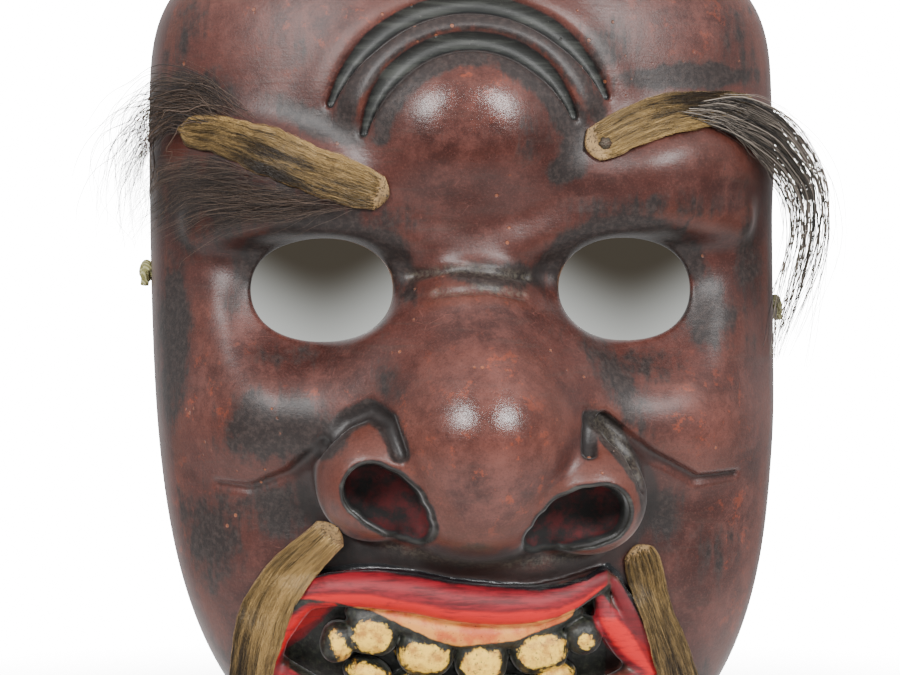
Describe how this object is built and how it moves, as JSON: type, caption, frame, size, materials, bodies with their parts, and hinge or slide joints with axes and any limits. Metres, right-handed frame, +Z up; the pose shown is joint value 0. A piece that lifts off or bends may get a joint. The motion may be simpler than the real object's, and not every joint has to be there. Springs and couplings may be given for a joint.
{
  "type": "noh mask",
  "caption": "Carved and lacquered wooden noh mask with an open back, open eyes, nailed fur-on hide brows and moustache, and a limp tie cord.",
  "frame": {"origin": "on the flat back rim, at the middle of the wall under the chin", "axes": "+Z up along the face, +Y out of the open back (the face looks towards -Y), +X to the viewer's right"},
  "size_m": [0.1773, 0.0818, 0.2195],
  "materials": {
    "lacquered_wood": "worn satin lacquer over carved wood",
    "bare_wood": "dark oiled tool-marked wood of the back",
    "fur_hide": "short flattened golden-brown fur",
    "long_hair": "fine dark hair",
    "iron_nail": "dull dark iron",
    "cord_fibre": "twisted limp fibre"
  },
  "bodies": {
    "root": {"mask_body": "lacquered_wood", "brow_hide_left": "fur_hide", "brow_hide_right": "fur_hide", "moustache_hide_left": "fur_hide", "moustache_hide_right": "fur_hide", "brow_hair_left": "long_hair", "brow_hair_right": "long_hair", "brow_nail_right": "iron_nail", "tie_cord": "cord_fibre", "cord_knot_left": "cord_fibre", "cord_knot_right": "cord_fibre"}
  },
  "joints": []
}
